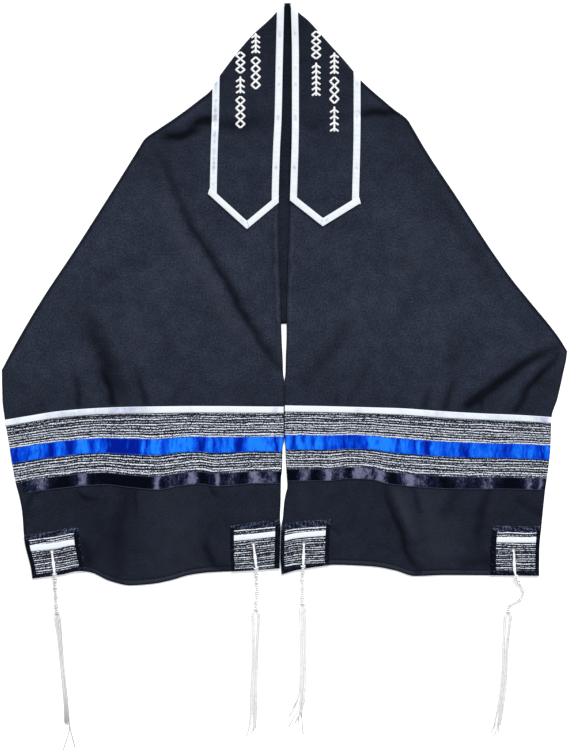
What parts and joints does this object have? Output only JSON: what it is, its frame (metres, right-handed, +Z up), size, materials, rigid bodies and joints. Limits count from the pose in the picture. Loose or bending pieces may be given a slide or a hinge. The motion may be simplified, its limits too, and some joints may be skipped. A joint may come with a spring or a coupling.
{
  "type": "tallit prayer shawl",
  "caption": "Striped prayer shawl laid flat with its two halves folded forward over the back layer, with a neckband, ribbon bands, corner patches and knotted tassels.",
  "frame": {"origin": "on the surface that the shawl lies on, under the middle of the cloth", "axes": "+X across the shawl to the viewer's right, +Y up the shawl towards the neck, +Z up from the surface"},
  "size_m": [0.9044, 1.1963, 0.0122],
  "materials": {
    "black_cloth": "black woven cloth with a faint blue-grey cast, matt",
    "grey_weave": "woven band of black, grey and white threads in fine broken streaks",
    "white_satin": "white satin ribbon",
    "blue_satin": "royal blue satin ribbon with a bright sheen",
    "black_satin": "black satin ribbon with a soft grey sheen",
    "navy_satin": "navy satin edging",
    "white_cord": "twisted white wool cord"
  },
  "bodies": {
    "root": {"back_panel": "black_cloth", "front_panel_left": "black_cloth", "grey_band_left": "grey_weave", "end_panel_left": "black_cloth", "white_ribbon_left": "white_satin", "blue_ribbon_left": "blue_satin", "black_ribbon_left": "black_satin", "front_panel_right": "black_cloth", "grey_band_right": "grey_weave", "end_panel_right": "black_cloth", "white_ribbon_right": "white_satin", "blue_ribbon_right": "blue_satin", "black_ribbon_right": "black_satin", "neckband_left": "black_cloth", "neckband_ribbon_left": "white_satin", "neckband_right": "black_cloth", "neckband_ribbon_right": "white_satin", "neckband_back": "black_cloth", "neckband_ribbon_back": "white_satin", "corner_patch_left_inner": "grey_weave", "patch_border_left_inner": "navy_satin", "patch_strip_left_inner": "white_satin", "tassel_knots_left_inner": "white_cord", "tassel_strands_left_inner": "white_cord", "corner_patch_left_outer": "grey_weave", "patch_border_left_outer": "navy_satin", "patch_strip_left_outer": "white_satin", "tassel_knots_left_outer": "white_cord", "tassel_strands_left_outer": "white_cord", "corner_patch_right_inner": "grey_weave", "patch_border_right_inner": "navy_satin", "patch_strip_right_inner": "white_satin", "tassel_knots_right_inner": "white_cord", "tassel_strands_right_inner": "white_cord", "corner_patch_right_outer": "grey_weave", "patch_border_right_outer": "navy_satin", "patch_strip_right_outer": "white_satin", "tassel_knots_right_outer": "white_cord", "tassel_strands_right_outer": "white_cord"}
  },
  "joints": []
}
